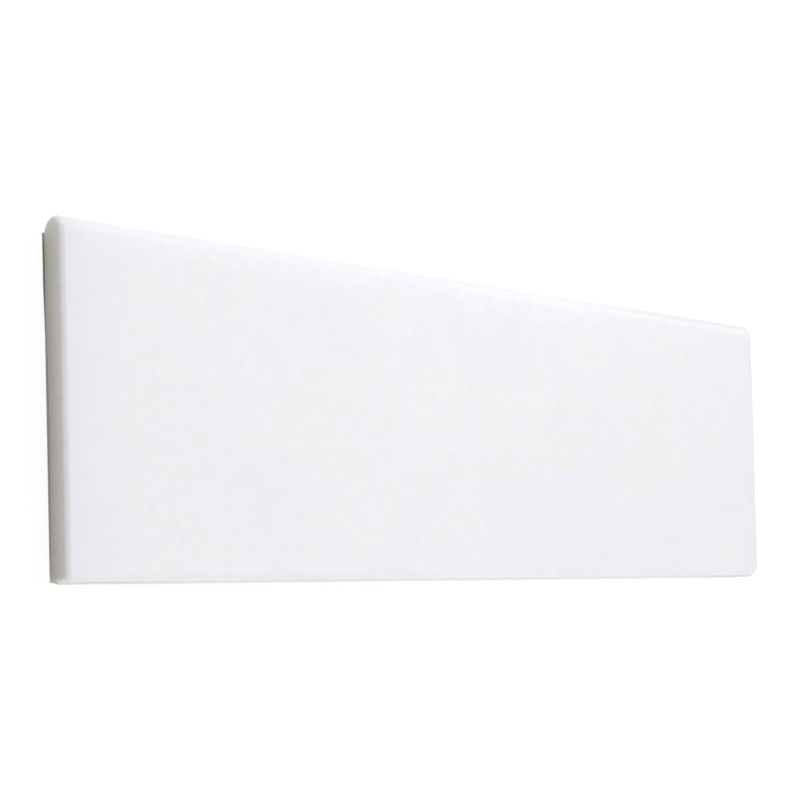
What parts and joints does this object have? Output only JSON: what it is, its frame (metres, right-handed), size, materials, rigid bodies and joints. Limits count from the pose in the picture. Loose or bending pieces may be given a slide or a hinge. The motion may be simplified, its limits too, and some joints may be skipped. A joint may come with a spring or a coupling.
{
  "type": "bullnose tile",
  "caption": "Long white glazed wall tile with a full half-round nose along its long edge, softly rounded arrises elsewhere, one corner eased more than the other, and a slightly hollow, grooved back.",
  "frame": {"origin": "middle of the footprint, on the plane of the flat lands of the back", "axes": "+X along the tile's length, +Y across it towards the half-round nose, +Z out of the glazed face"},
  "size_m": [0.3, 0.1, 0.0105],
  "materials": {
    "tile": "gloss cool-white glaze on the face, nose and arrises; matt warm off-white fired body on the ends and back"
  },
  "bodies": {
    "root": {"tile": "tile"}
  },
  "joints": []
}
